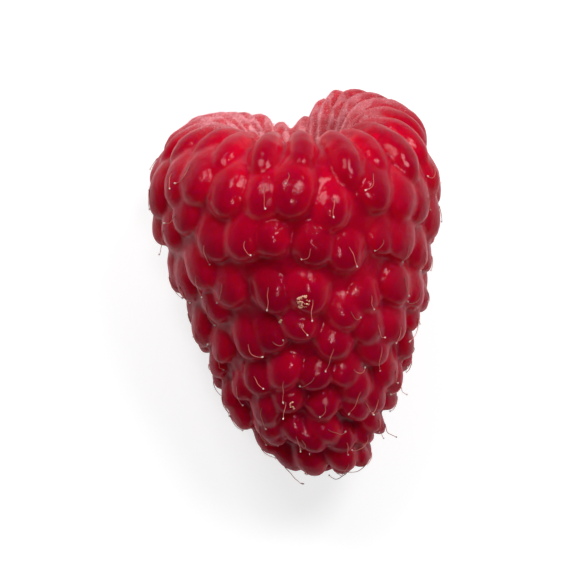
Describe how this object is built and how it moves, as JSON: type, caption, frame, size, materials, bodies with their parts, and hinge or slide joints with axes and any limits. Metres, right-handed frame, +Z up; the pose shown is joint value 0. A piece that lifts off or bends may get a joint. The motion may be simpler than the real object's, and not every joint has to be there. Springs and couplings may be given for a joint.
{
  "type": "raspberry",
  "caption": "Ripe red raspberry, picked and lying on its side: a hollow cone of small round drupelets with an open mouth where the core was.",
  "frame": {"origin": "centre of the berry's outline seen from above, on the surface that it rests on", "axes": "+Z up from that surface; +Y the way the open mouth faces, with the rounded tip towards -Y; +X to the right seen from above with the mouth away"},
  "size_m": [0.0222, 0.0298, 0.022],
  "materials": {
    "drupelet_skin": "moist, translucent red drupelet skin with a soft gloss, velvety and paler on the rim"
  },
  "bodies": {
    "root": {"raspberry": "drupelet_skin"}
  },
  "joints": []
}
